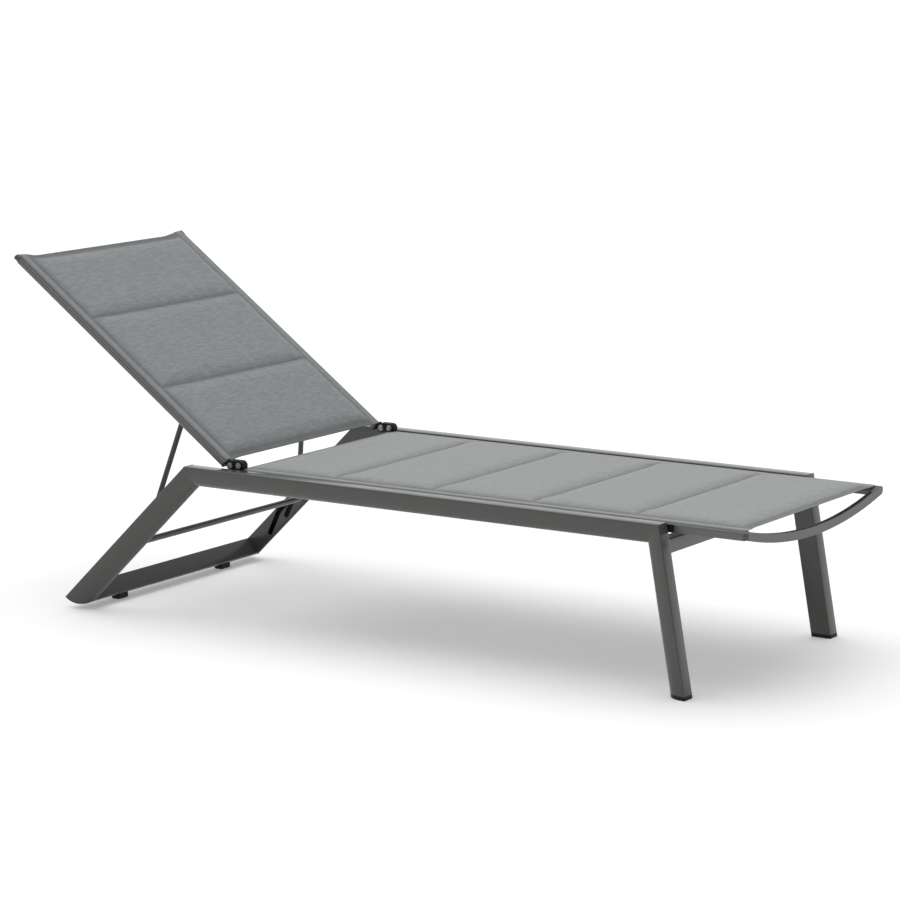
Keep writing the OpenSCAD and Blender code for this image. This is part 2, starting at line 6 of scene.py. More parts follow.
import json
import math

import bpy
import numpy as np
from mathutils import Matrix, Vector, geometry
from mathutils.bvhtree import BVHTree


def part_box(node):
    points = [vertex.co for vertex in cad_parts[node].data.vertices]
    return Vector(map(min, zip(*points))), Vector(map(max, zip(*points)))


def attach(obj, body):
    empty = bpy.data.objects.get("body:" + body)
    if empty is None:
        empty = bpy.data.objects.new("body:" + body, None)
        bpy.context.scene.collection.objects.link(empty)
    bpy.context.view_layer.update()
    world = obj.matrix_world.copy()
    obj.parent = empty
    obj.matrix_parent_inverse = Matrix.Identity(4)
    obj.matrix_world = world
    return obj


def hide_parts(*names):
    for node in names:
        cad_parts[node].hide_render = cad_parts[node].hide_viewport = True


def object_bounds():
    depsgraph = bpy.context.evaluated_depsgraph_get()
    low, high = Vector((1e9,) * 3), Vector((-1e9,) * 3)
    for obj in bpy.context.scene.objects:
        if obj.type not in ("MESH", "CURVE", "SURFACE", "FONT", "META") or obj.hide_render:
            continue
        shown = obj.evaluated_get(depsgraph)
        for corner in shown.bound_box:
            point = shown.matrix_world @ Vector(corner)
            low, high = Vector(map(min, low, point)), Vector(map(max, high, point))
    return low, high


bl_info = {
    "name": "Reclining Sun Lounger",
    "version": (1, 0, 0),
    "blender": (4, 5, 0),
    "location": "View3D > Sidebar > Lounger",
    "description": "Padded slings, powder coat, welds and fittings for a reclining sun lounger",
    "category": "Add Mesh",
}

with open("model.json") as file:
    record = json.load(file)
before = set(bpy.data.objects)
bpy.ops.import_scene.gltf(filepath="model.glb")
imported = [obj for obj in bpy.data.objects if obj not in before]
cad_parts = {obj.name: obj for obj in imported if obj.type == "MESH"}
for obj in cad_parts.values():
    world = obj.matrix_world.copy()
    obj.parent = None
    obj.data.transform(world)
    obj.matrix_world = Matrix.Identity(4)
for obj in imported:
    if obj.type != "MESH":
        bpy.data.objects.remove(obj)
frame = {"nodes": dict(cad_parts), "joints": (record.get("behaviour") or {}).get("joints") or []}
cad_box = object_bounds()

MM = 0.001

# Hinge axis of the backrest, and its angle at rest: the joint's lowest position lies level
RECLINE = next(j for j in frame["joints"] if j["name"] == "backrest_recline")
HINGE = Vector(RECLINE["pos_m"])
REST_ANGLE = math.radians(-RECLINE["range_deg"][0])
BACK_PLACE = Matrix.Translation(HINGE) @ Matrix.Rotation(REST_ANGLE, 4, "Y")

GROOVE_IN = 7 * MM  # groove centre in from a sling rail's outer face
HEM = 14 * MM  # hem seam in from either end of a sling
TUCK_IN = 5 * MM  # how far to either side of a seam the cloth is tucked down
STITCH = 5 * MM  # length of a stitch with its gap
SAME_SPOT = 0.05 * MM  # points of two tubes closer than this are on the cut that they share
SMOOTH_ANGLE = math.radians(28)  # CAD edges gentler than this are facets of a curve
BEVEL_ANGLE = math.radians(40)  # edges sharper than this are rounded on moulded parts


# ---- sizes and colours a user would change ----


class FabricSettings(bpy.types.PropertyGroup):
    seat_cloth: bpy.props.StringProperty(
        name="Seat Cloth", description="Coated yarn of the seat sling, sRGB hex", default="A0A4A1")
    seat_shade: bpy.props.StringProperty(
        name="Seat Shade", description="Darker yarn of the seat sling, sRGB hex", default="929694")
    # The backrest colours are the seat cloth darkened: painted shade for the leaning backrest, which
    # catches less light
    back_cloth: bpy.props.StringProperty(
        name="Backrest Cloth", description="Coated yarn of the backrest sling, sRGB hex",
        default="9B9FA0")
    back_shade: bpy.props.StringProperty(
        name="Backrest Shade", description="Darker yarn of the backrest sling, sRGB hex",
        default="888C8D")
    # Painted seam shade: how much the cloth is darkened in its seams and grooves, standing in for their
    # shadow
    painted_seam_shade: bpy.props.FloatProperty(
        name="Painted Seam Shade", description="How much darker the cloth is down in its seams",
        default=0.38, subtype="FACTOR")
    thread: bpy.props.StringProperty(
        name="Thread", description="Sewing thread, sRGB hex", default="7C807F")
    cell: bpy.props.FloatProperty(
        name="Cell", description="Mesh spacing of the padding", default=9.5 * MM, unit="LENGTH")
    seat_seams: bpy.props.IntProperty(
        name="Seat Seams", description="Number of cross seams in the seat", default=4)
    seat_first_seam: bpy.props.FloatProperty(
        name="First Seat Seam", description="First cross seam from the seat sling's head end",
        default=232 * MM, unit="LENGTH")
    seat_seam_pitch: bpy.props.FloatProperty(
        name="Seat Seam Spacing", description="Distance from one cross seam of the seat to the next",
        default=240 * MM, unit="LENGTH")
    back_low_seam: bpy.props.FloatProperty(
        name="Lower Backrest Seam", description="Lower cross seam of the backrest from the hinge",
        default=249 * MM, unit="LENGTH")
    back_high_seam: bpy.props.FloatProperty(
        name="Upper Backrest Seam", description="Upper cross seam of the backrest from the hinge",
        default=482 * MM, unit="LENGTH")
    seam_in: bpy.props.FloatProperty(
        name="Seam Inset", description="Lengthwise seam in from the groove",
        default=26 * MM, unit="LENGTH")
    loft_up: bpy.props.FloatProperty(
        name="Loft Up", description="Padding above its seams", default=6.2 * MM, unit="LENGTH")
    loft_down: bpy.props.FloatProperty(
        name="Loft Down", description="Padding below its seams", default=4.0 * MM, unit="LENGTH")
    roll: bpy.props.FloatProperty(
        name="Roll", description="Width over which the padding rounds down to a seam",
        default=30 * MM, unit="LENGTH")
    pressure: bpy.props.FloatProperty(
        name="Pressure", description="Pressure that swells the padding", default=3.0)
    swell_cap: bpy.props.FloatProperty(
        name="Swell Cap", description="Furthest that swelling moves a point",
        default=1.6 * MM, unit="LENGTH")


class FrameSettings(bpy.types.PropertyGroup):
    coat: bpy.props.StringProperty(
        name="Powder Coat", description="Colour of the powder coat, sRGB hex", default="4A4A48")
    coat_shade: bpy.props.StringProperty(
        name="Coat Shade", description="Thinner patches of the powder coat, sRGB hex", default="434341")
    # The sling rails take the frame's powder coat painted lighter: painted light for the brighter light on
    # their faces
    rail_coat_painted_light: bpy.props.StringProperty(
        name="Rail Coat Painted Lighter", description="Powder coat of the sling rails, sRGB hex", default="636362")
    rail_patches_painted_light: bpy.props.StringProperty(
        name="Rail Shade", description="Thinner patches on the sling rails, sRGB hex", default="5B5B5A")
    bead_r: bpy.props.FloatProperty(
        name="Bead Radius", description="Radius of a fillet weld bead", default=2.4 * MM, unit="LENGTH")
    flush_r: bpy.props.FloatProperty(
        name="Flush Bead Radius", description="Radius of a dressed mitre weld",
        default=1.3 * MM, unit="LENGTH")
    ripple: bpy.props.FloatProperty(
        name="Ripple", description="Spacing of the ripples in a weld bead",
        default=2.6 * MM, unit="LENGTH")


class FittingSettings(bpy.types.PropertyGroup):
    nylon: bpy.props.StringProperty(
        name="Nylon", description="Colour of the moulded nylon, sRGB hex", default="0D0D0E")
    cord: bpy.props.StringProperty(
        name="Edge Cord", description="Colour of the extruded edge cord, sRGB hex", default="2A2B2B")
    steel: bpy.props.StringProperty(
        name="Steel", description="Colour of the stainless steel, sRGB hex", default="8E8D8A")
    bevel: bpy.props.FloatProperty(
        name="Edge Radius", description="Soft edge on moulded parts", default=0.7 * MM, unit="LENGTH")


class StageSettings(bpy.types.PropertyGroup):
    floor: bpy.props.StringProperty(
        name="Floor", description="Colour of the painted floor, sRGB hex", default="F7F7F7")
    sky_light: bpy.props.FloatProperty(
        name="Room Light", description="Brightness of the white room overhead", default=0.37)
    lit_wall: bpy.props.FloatProperty(
        name="Lit Wall", description="Brightness of the room's lit wall", default=1.4)
    dim_wall: bpy.props.FloatProperty(
        name="Dim Wall", description="Brightness of the wall opposite the lit one", default=0.12)
    lit_way: bpy.props.FloatProperty(
        name="Lit Wall Direction", description="Direction of the lit wall, turned from +X towards +Y",
        default=math.radians(149), subtype="ANGLE")
    floor_glow: bpy.props.FloatProperty(
        name="Floor Glow", description="Light let through from under the floor", default=0.22)
    top_light: bpy.props.FloatProperty(
        name="Top Light", description="Strength of the wide light overhead", default=1.69)
    top_width: bpy.props.FloatProperty(
        name="Top Light Width", description="Angular width of the light overhead",
        default=math.radians(75), subtype="ANGLE")
    top_turn: bpy.props.FloatVectorProperty(
        name="Top Light Turn", description="Turn of the light overhead from straight down",
        default=(math.radians(-6), math.radians(-14), 0), size=3, subtype="EULER")
    azimuth: bpy.props.FloatProperty(
        name="Azimuth", description="Camera round the lounger",
        default=math.radians(31.58), subtype="ANGLE")
    elevation: bpy.props.FloatProperty(
        name="Elevation", description="Camera above level", default=math.radians(9.80), subtype="ANGLE")
    roll: bpy.props.FloatProperty(
        name="Roll", description="Camera tilt about its axis",
        default=math.radians(0.52), subtype="ANGLE")
    distance: bpy.props.FloatProperty(
        name="Distance", description="Camera from the point it looks at", default=7.508, unit="LENGTH")
    aim: bpy.props.FloatVectorProperty(
        name="Aim", description="Point looked at, from the middle of the lounger",
        default=(30.9 * MM, 18.9 * MM, -8.4 * MM), size=3, subtype="TRANSLATION")
    lens: bpy.props.FloatProperty(
        name="Lens", description="Focal length of the camera", default=139.06, unit="CAMERA")


# ---- small helpers ----


def linear(colour):
    """The linear RGBA value of an sRGB hex colour."""
    parts = [int(colour[i:i + 2], 16) / 255 for i in (0, 2, 4)]
    return (*[p / 12.92 if p <= 0.04045 else ((p + 0.055) / 1.055) ** 2.4 for p in parts], 1)


def add(tree, kind, inputs=None, **settings):
    """Adds a node, sets its settings, and links or sets its inputs."""
    node = tree.nodes.new(kind)
    for name, value in settings.items():
        setattr(node, name, value)
    for name, value in (inputs or {}).items():
        if isinstance(value, bpy.types.NodeSocket):
            tree.links.new(value, node.inputs[name])
        else:
            node.inputs[name].default_value = value
    return node


def new_material(name):
    """An empty material and its node tree."""
    material = bpy.data.materials.new(name)
    material.use_nodes = True
    material.node_tree.nodes.clear()
    return material, material.node_tree


def wear(tree, shader):
    """Ends a material's tree with its surface shader."""
    add(tree, "ShaderNodeOutputMaterial", {"Surface": shader.outputs[0]})


def coat_with(obj, material):
    """Makes a material the only one on an object."""
    obj.data.materials.clear()
    obj.data.materials.append(material)


def new_piece(name, points, faces, body, material):
    """A mesh piece that rides on a CAD body and wears the material given."""
    mesh = bpy.data.meshes.new(name)
    mesh.from_pydata([tuple(p) for p in points], [], faces)
    mesh.validate()
    mesh.polygons.foreach_set("use_smooth", [True] * len(mesh.polygons))
    obj = bpy.data.objects.new(name, mesh)
    bpy.context.scene.collection.objects.link(obj)
    coat_with(obj, material)
    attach(obj, body)
    return obj


def node_points(name):
    """Corner points of a CAD node at rest."""
    return np.array([v.co for v in frame["nodes"][name].data.vertices])


def bake_modifiers(obj):
    """Puts the result of an object's modifiers into its mesh."""
    shape = obj.evaluated_get(bpy.context.evaluated_depsgraph_get())
    mesh = bpy.data.meshes.new_from_object(shape)
    obj.modifiers.clear()
    obj.data = mesh


# ---- materials ----


def powder_coat(name, coat, shade):
    """Polyester powder coat on aluminium: satin, with a fine orange peel from the oven."""
    peel_size = 1.8 * MM  # real peel is about this wide
    patches_per_metre = 7.0  # the coat's thickness drifts slowly along a tube
    material, tree = new_material(name)
    place = add(tree, "ShaderNodeTexCoord").outputs["Object"]
    patches = add(tree, "ShaderNodeTexNoise", {
        "Vector": place, "Scale": patches_per_metre, "Detail": 3.0})
    colour = add(tree, "ShaderNodeMix", {
        "Factor": patches.outputs["Fac"], "A": linear(shade), "B": linear(coat),
    }, data_type="RGBA")
    peel = add(tree, "ShaderNodeTexNoise", {"Vector": place, "Scale": 1 / peel_size, "Detail": 1.5})
    bump = add(tree, "ShaderNodeBump", {
        "Height": peel.outputs["Fac"], "Strength": 0.25, "Distance": 0.12 * MM})
    rough = add(tree, "ShaderNodeMapRange", {
        "Value": patches.outputs["Fac"], "From Min": 0.3, "From Max": 0.7, "To Min": 0.2, "To Max": 0.27})
    wear(tree, add(tree, "ShaderNodeBsdfPrincipled", {
        "Base Color": colour.outputs[2], "Roughness": rough.outputs[0], "Normal": bump.outputs[0],
        "IOR": 1.5}))
    return material


def moulded_nylon(settings):
    """Glass-filled nylon, injection moulded: near black, with the dull grain of a spark-eroded mould."""
    grain_size = 0.9 * MM  # real grain is 0.2 mm, drawn coarser so that it shows
    material, tree = new_material("moulded_black_nylon")
    place = add(tree, "ShaderNodeTexCoord").outputs["Object"]
    grain = add(tree, "ShaderNodeTexNoise", {"Vector": place, "Scale": 1 / grain_size, "Detail": 2.0})
    bump = add(tree, "ShaderNodeBump", {
        "Height": grain.outputs["Fac"], "Strength": 0.4, "Distance": 0.08 * MM})
    rough = add(tree, "ShaderNodeMapRange", {
        "Value": grain.outputs["Fac"], "To Min": 0.45, "To Max": 0.65})
    wear(tree, add(tree, "ShaderNodeBsdfPrincipled", {
        "Base Color": linear(settings.nylon), "Roughness": rough.outputs[0],
        "Normal": bump.outputs[0], "IOR": 1.53, "Specular IOR Level": 0.25}))
    return material


def edge_cord(settings):
    """Extruded PVC cord: smooth and dark, with faint lines along its length from the die."""
    line_size = 1.2 * MM  # real die lines are finer than this
    material, tree = new_material("extruded_pvc_cord")
    place = add(tree, "ShaderNodeTexCoord").outputs["Object"]
    along = add(tree, "ShaderNodeMapping", {"Vector": place, "Scale": (0.02, 1.0, 1.0)})
    lines = add(tree, "ShaderNodeTexNoise", {"Vector": along.outputs[0], "Scale": 1 / line_size})
    bump = add(tree, "ShaderNodeBump", {
        "Height": lines.outputs["Fac"], "Strength": 0.3, "Distance": 0.05 * MM})
    wear(tree, add(tree, "ShaderNodeBsdfPrincipled", {
        "Base Color": linear(settings.cord), "Roughness": 0.38, "Normal": bump.outputs[0], "IOR": 1.53}))
    return material


def brushed_stainless(settings):
    """A4 stainless steel, tumbled and lightly brushed: bright but soft reflections."""
    scratch_size = 0.8 * MM  # real brush marks are finer, drawn coarser so that they show
    material, tree = new_material("brushed_stainless_steel")
    place = add(tree, "ShaderNodeTexCoord").outputs["Object"]
    along = add(tree, "ShaderNodeMapping", {"Vector": place, "Scale": (1.0, 1.0, 0.12)})
    marks = add(tree, "ShaderNodeTexNoise", {
        "Vector": along.outputs[0], "Scale": 1 / scratch_size, "Detail": 3.0})
    rough = add(tree, "ShaderNodeMapRange", {
        "Value": marks.outputs["Fac"], "To Min": 0.35, "To Max": 0.55})
    bump = add(tree, "ShaderNodeBump", {
        "Height": marks.outputs["Fac"], "Strength": 0.2, "Distance": 0.03 * MM})
    wear(tree, add(tree, "ShaderNodeBsdfPrincipled", {
        "Base Color": linear(settings.steel), "Metallic": 1.0,
        "Roughness": rough.outputs[0], "Normal": bump.outputs[0]}))
    return material


def sling_cloth(name, cloth, shade, painted_seam_shade):
    """PVC-coated polyester sling cloth: a matt open weave with slubs, darkened with painted shade down in
    its seams.
    """
    thread = 3.0 * MM  # real threads lie 1.6 mm apart, drawn coarser so that they show
    slub = 3.6 * MM  # real slubs are 1.6 mm wide, drawn coarser so that they show
    material, tree = new_material(name)
    place = add(tree, "ShaderNodeTexCoord").outputs["Object"]
    axes = add(tree, "ShaderNodeSeparateXYZ", {0: place})
    waves = []
    for axis in ("X", "Y"):
        turns = add(tree, "ShaderNodeMath", {0: axes.outputs[axis], 1: 2 * math.pi / thread},
                    operation="MULTIPLY")
        waves.append(add(tree, "ShaderNodeMath", {0: turns.outputs[0]}, operation="SINE").outputs[0])
    weave = add(tree, "ShaderNodeMath", {0: waves[0], 1: waves[1]}, operation="MULTIPLY")
    ribs = add(tree, "ShaderNodeMath", {0: waves[0], 1: 0.55, 2: weave.outputs[0]},
               operation="MULTIPLY_ADD")
    stretched = add(tree, "ShaderNodeMapping", {"Vector": place, "Scale": (1.0, 0.16, 0.4)})
    slubs = add(tree, "ShaderNodeTexNoise", {
        "Vector": stretched.outputs[0], "Scale": 1 / slub, "Detail": 3.0})
    height = add(tree, "ShaderNodeMath", {0: slubs.outputs["Fac"], 1: 1.4, 2: ribs.outputs[0]},
                 operation="MULTIPLY_ADD")
    mixed = add(tree, "ShaderNodeMath", {0: ribs.outputs[0], 1: 0.1, 2: slubs.outputs["Fac"]},
                operation="MULTIPLY_ADD")
    tint = add(tree, "ShaderNodeMapRange", {"Value": mixed.outputs[0], "From Min": 0.32, "From Max": 0.68})
    colour = add(tree, "ShaderNodeMix", {
        "Factor": tint.outputs[0], "A": linear(shade), "B": linear(cloth)}, data_type="RGBA")
    # Painted shade: darkens the cloth near seams and down in the grooves, where shadow falls
    seam_shade_mask = add(tree, "ShaderNodeAttribute", attribute_name="painted_seam_shade")
    light = add(tree, "ShaderNodeMapRange", {
        "Value": seam_shade_mask.outputs["Fac"], "To Min": 1.0, "To Max": 1 - painted_seam_shade})
    seam_shaded_colour = add(tree, "ShaderNodeVectorMath", {0: colour.outputs[2], 1: light.outputs[0]},
                 operation="MULTIPLY")
    bump = add(tree, "ShaderNodeBump", {
        "Height": height.outputs[0], "Strength": 0.5, "Distance": 0.12 * MM})
    rough = add(tree, "ShaderNodeMapRange", {
        "Value": slubs.outputs["Fac"], "To Min": 0.62, "To Max": 0.78})
    wear(tree, add(tree, "ShaderNodeBsdfPrincipled", {
        "Base Color": seam_shaded_colour.outputs[0], "Roughness": rough.outputs[0], "Normal": bump.outputs[0],
        "IOR": 1.46, "Sheen Weight": 0.08, "Sheen Roughness": 0.4}))
    return material


def bonded_thread(settings):
    """Bonded polyester thread: a slightly glossy twist, darker than the cloth it sews."""
    twist = 0.9 * MM  # real twist is 0.5 mm, drawn coarser so that it shows
    material, tree = new_material("bonded_polyester_thread")
    place = add(tree, "ShaderNodeTexCoord").outputs["Object"]
    strands = add(tree, "ShaderNodeTexWave", {
        "Vector": place, "Scale": math.pi / (10 * twist), "Distortion": 0.4}, bands_direction="DIAGONAL")
    bump = add(tree, "ShaderNodeBump", {
        "Height": strands.outputs["Fac"], "Strength": 0.4, "Distance": 0.1 * MM})
    wear(tree, add(tree, "ShaderNodeBsdfPrincipled", {
        "Base Color": linear(settings.thread), "Roughness": 0.5, "Normal": bump.outputs[0], "IOR": 1.5}))
    return material


def painted_floor(settings):
    """Matt white studio floor paint: even and pale, with a faint roller texture."""
    roller = 4 * MM  # a short-pile roller leaves stipple about this wide
    material, tree = new_material("matt_white_floor_paint")
    place = add(tree, "ShaderNodeTexCoord").outputs["Object"]
    stipple = add(tree, "ShaderNodeTexNoise", {"Vector": place, "Scale": 1 / roller})
    bump = add(tree, "ShaderNodeBump", {
        "Height": stipple.outputs["Fac"], "Strength": 0.05, "Distance": 0.1 * MM})
    wear(tree, add(tree, "ShaderNodeBsdfPrincipled", {
        "Base Color": linear(settings.floor), "Roughness": 0.75, "Normal": bump.outputs[0],
        "Specular IOR Level": 0.15, "Emission Color": linear(settings.floor),
        "Emission Strength": settings.floor_glow}))
    return material


def smooth_by_angle():
    """Geometry nodes that weld a CAD mesh and shade it smooth, but for its sharp edges."""
    tree = bpy.data.node_groups.new("smooth_by_angle", "GeometryNodeTree")
    tree.interface.new_socket("Geometry", in_out="INPUT", socket_type="NodeSocketGeometry")
    tree.interface.new_socket("Geometry", in_out="OUTPUT", socket_type="NodeSocketGeometry")
    start = add(tree, "NodeGroupInput")
    welded = add(tree, "GeometryNodeMergeByDistance", {
        "Geometry": start.outputs[0], "Distance": 0.01 * MM})
    bare = add(tree, "GeometryNodeRemoveAttribute", {
        "Geometry": welded.outputs[0], "Name": "custom_normal"})
    faces = add(tree, "GeometryNodeSetShadeSmooth", {"Geometry": bare.outputs[0], "Shade Smooth": True},
                domain="FACE")
    angle = add(tree, "GeometryNodeInputMeshEdgeAngle")
    gentle = add(tree, "FunctionNodeCompare", {"A": angle.outputs[0], "B": SMOOTH_ANGLE},
                 data_type="FLOAT", operation="LESS_THAN")
    edges = add(tree, "GeometryNodeSetShadeSmooth", {
        "Geometry": faces.outputs[0], "Shade Smooth": gentle.outputs[0]}, domain="EDGE")
    add(tree, "NodeGroupOutput", {0: edges.outputs[0]})
    return tree


def dress_nodes(names, material, smoothing, bevel=0):
    """Gives CAD nodes their material, smooth shading and soft edges."""
    for name in names:
        obj = frame["nodes"][name]
        coat_with(obj, material)
        obj.modifiers.new("Smooth", "NODES").node_group = smoothing
        if bevel:
            edge = obj.modifiers.new("Soft edges", "BEVEL")
            edge.width = bevel
            edge.segments = 2
            edge.limit_method = "ANGLE"
            edge.angle_limit = BEVEL_ANGLE
            edge.harden_normals = True


def both(*stems):
    """Names of the left and right nodes of each stem."""
    return [f"{stem}_{hand}" for stem in stems for hand in ("left", "right")]


RAIL_NODES = both("seat_rail", "back_rail")
FRAME_NODES = both("side_rail", "front_leg", "rear_leg", "stay_arm", "stay_lugs") + [
    "rear_floor_bar", "front_cross_tube", "rear_cross_tube", "foot_bar", "head_bar",
    "seat_spreader_tubes", "back_spreader_tube", "stay_bar"]
NYLON_NODES = both("front_foot_cap", "floor_glide", "hinge_bracket", "hinge_tongue") + [
    "seat_rail_spacers", "stay_end_rollers"]
STEEL_NODES = [
    "seat_rail_bolts", "hinge_pivot_bolts", "hinge_clamp_bolts", "hinge_nuts", "stay_pivot_pins"]
CORD_NODES = ["seat_sling_cords", "back_sling_cords"]


# ---- welds ----


def shared_rim(a, b):
    """Outline of the cut where two mitred tubes meet, as points in order."""
    pa, pb = node_points(a), node_points(b)
    keep = [p for p in pa if np.min(np.sum((pb - p) ** 2, axis=1)) < SAME_SPOT ** 2]
    return hull_loop(np.array(keep))


def end_rim(node, side):
    """Outline of a cross tube's end at its lowest or highest y, as points in order."""
    points = node_points(node)
    edge = points[:, 1].max() if side > 0 else points[:, 1].min()
    return hull_loop(points[abs(points[:, 1] - edge) < SAME_SPOT])


def hull_loop(points):
    """Convex outline of points that lie in one plane."""
    middle = points.mean(axis=0)
    axes = np.linalg.svd(points - middle)[2]
    flat = (points - middle) @ axes[:2].T
    order = geometry.convex_hull_2d([Vector(p) for p in flat])
    return [Vector(points[i]) for i in order]


def weld_bead(name, loop, radius, sink, ripple, body, material):
    """A closed rippled bead that follows a loop, sunk a little towards the loop's middle."""
    sides = 8
    steps_a_ripple = 3
    swell_share = 0.14  # a ripple stands this much of the radius above and below the mean
    middle = sum(loop, Vector()) / len(loop)
    corners = loop + loop[:1]
    lengths = [(b - a).length for a, b in zip(corners, corners[1:])]
    total = sum(lengths)
    steps = max(24, round(total / (ripple / steps_a_ripple)))
    path = []
    for i in range(steps):
        run = total * i / steps
        for a, b, length in zip(corners, corners[1:], lengths):
            if run <= length:
                path.append(a.lerp(b, run / max(length, 1e-9)))
                break
            run -= length
    normal = loop_normal(path)
    points, faces = [], []
    for i, spot in enumerate(path):
        ahead = (path[(i + 1) % steps] - path[i - 1]).normalized()
        out = ahead.cross(normal).normalized()
        if out.dot(spot - middle) < 0:
            out.negate()
        girth = radius * (1 + swell_share * math.cos(2 * math.pi * total / steps * i / ripple))
        centre = spot - out * sink
        for k in range(sides):
            turn = 2 * math.pi * k / sides
            points.append(centre + (out * math.cos(turn) + normal * math.sin(turn)) * girth)
            j = (i + 1) % steps
            faces.append((i * sides + k, i * sides + (k + 1) % sides,
                          j * sides + (k + 1) % sides, j * sides + k))
    return new_piece(name, points, faces, body, material)


def loop_normal(path):
    """Direction square to the plane of a closed path."""
    area = Vector()
    for a, b in zip(path, path[1:] + path[:1]):
        area += a.cross(b)
    return area.normalized()


# ---- slings ----


def smoothstep(t):
    """Eases from 0 to 1."""
    t = np.clip(t, 0, 1)
    return t * t * (3 - 2 * t)


def stations(stops, cell):
    """Even positions between stops, no further apart than a cell, with every stop among them."""
    out = [stops[0]]
    for a, b in zip(stops, stops[1:]):
        n = max(1, math.ceil((b - a) / cell))
        out += [a + (b - a) * i / n for i in range(1, n + 1)]
    return np.array(out)


def sling_rows(groove, seam_y, cell):
    """Rows of points across a sling, as (y, top z, bottom z). Heights are None where padding sets them."""
    lip = 0.12 * MM  # clearance of the lower skin over the rail
    inner = stations([0, seam_y - TUCK_IN, seam_y], cell)
    # Past the seam: over the rail, then down into the groove
    strip = [
        (seam_y + 4 * MM, 2.3 * MM, lip), (seam_y + 10 * MM, 2.9 * MM, lip),
        (groove - 7 * MM, 3.4 * MM, lip), (groove - 3.4 * MM, 3.3 * MM, lip),
        (groove - 1.4 * MM, 2.6 * MM, lip), (groove + 0.2 * MM, 0.9 * MM, -0.2 * MM),
        (groove + 0.5 * MM, -0.6 * MM, -0.9 * MM), (groove + 0.5 * MM, -2.0 * MM, -2.0 * MM)]
    half = [(y, None, None) for y in inner] + strip
    return [(-y, t, b) for y, t, b in half[:0:-1]] + half


def skin_faces(nx, ny):
    """Faces of two skins of nx by ny points joined round their rim, the lower skin's points last."""
    n = nx * ny
    faces = []
    for i in range(nx - 1):
        for j in range(ny - 1):
            a, b, c, d = i * ny + j, (i + 1) * ny + j, (i + 1) * ny + j + 1, i * ny + j + 1
            faces += [(a, b, c, d), (n + d, n + c, n + b, n + a)]
        a, b = i * ny, (i + 1) * ny
        faces.append((a, n + a, n + b, b))
        a, b = a + ny - 1, b + ny - 1
        faces.append((b, n + b, n + a, a))
    for j in range(ny - 1):
        a, b = j, j + 1
        faces.append((b, n + b, n + a, a))
        a, b = (nx - 1) * ny + j, (nx - 1) * ny + j + 1
        faces.append((a, n + a, n + b, b))
    return faces


def sling_skins(plan, xs, rows, seam_y, knots, settings):
    """Points of both skins, whether each is held by a seam or rail, and how much painted shade it takes
    near a seam or groove.
    """
    seam_top, seam_bottom = 1.45 * MM, 0.35 * MM  # heights of the skins at a seam
    end_thin = 0.55 * MM  # how much lower the upper skin is at the very ends
    fold_in = 1.0 * MM  # how far the lower skin lies inside the upper one in the groove
    top, bottom, held, seam_shade_amounts = [], [], [], []
    for x in xs:
        gap_x = min(abs(x - k) for k in knots)
        if x < knots[0] or x > knots[-1]:
            gap_x = 0
        thin = end_thin if x in (xs[0], xs[-1]) else 0
        for y, t, b in rows:
            gap_y = seam_y - abs(y)
            if t is None:
                loft = roll_off(gap_x, settings.roll) * roll_off(gap_y, settings.roll)
                t = seam_top + settings.loft_up * loft
                b = seam_bottom - settings.loft_down * loft
            along = x + ear_pull(x, abs(y), plan)
            in_groove = t < 0.3 * MM
            top.append((along, y, t if in_groove else t - thin))
            folded = b < 0 and abs(y) > seam_y
            bottom.append((along, y - math.copysign(fold_in, y) if folded else y, b))
            held.append(1.0 if gap_x < 1 * MM or gap_y < 1 * MM else 0.0)
            # Strength of the painted shade, falling off from the nearest seam or from the groove
            near = min(gap_x if gap_y > 0 else 1, abs(gap_y), max(plan["groove"] - abs(y), 0))
            seam_shade_amounts.append(math.exp(-(near / TUCK_IN) ** 2))
    points = np.array(top + bottom)
    points[:, 2] += plan["z"]
    return points, held, seam_shade_amounts


def padded_sling(name, plan, settings, body, material, place):
    """A padded sling drawn level: two skins, sewn along plan's seams and gripped along its two grooves."""
    seam_y = plan["groove"] - settings.seam_in
    knots = [plan["start"] + HEM, *plan["seams"], plan["end"] - HEM]
    tucks_x = [x + d for x in plan["seams"] for d in (-TUCK_IN, 0, TUCK_IN)]
    xs = stations([plan["start"], knots[0], *tucks_x, knots[-1], plan["end"]], settings.cell)
    rows = sling_rows(plan["groove"], seam_y, settings.cell)
    points, held, seam_shade_amounts = sling_skins(plan, xs, rows, seam_y, knots, settings)
    obj = new_piece(name, points, skin_faces(len(xs), len(rows)), body, material)
    obj.matrix_world = place
    # Each point's painted seam shade, read by the cloth material
    shade = obj.data.attributes.new("painted_seam_shade", "FLOAT", "POINT")
    shade.data.foreach_set("value", seam_shade_amounts + seam_shade_amounts)
    swell(obj, held + held, settings)
    obj.modifiers.new("Smooth surface", "SUBSURF").levels = 1
    bake_modifiers(obj)
    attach(obj, body)
    return obj, seam_y, knots


def roll_off(gap, width):
    """Height share of padding at a distance from a seam: a quarter ellipse, then flat."""
    near = 1 - min(max(gap, 0) / width, 1)
    return math.sqrt(1 - near * near)


def ear_pull(x, y, plan):
    """How far the end of a sling is drawn in, away from the rails that hold its corners."""
    gripped = 18 * MM  # width beside each groove that the rail holds
    ear = smoothstep((plan["groove"] - gripped - y) / plan["ear_width"])
    from_start = smoothstep((plan["start"] + plan["ear_reach"] - x) / plan["ear_reach"])
    from_end = smoothstep((x - plan["end"] + plan["ear_reach"]) / plan["ear_reach"])
    return float(ear * (from_start * plan["draw_start"] - from_end * plan["draw_end"]))


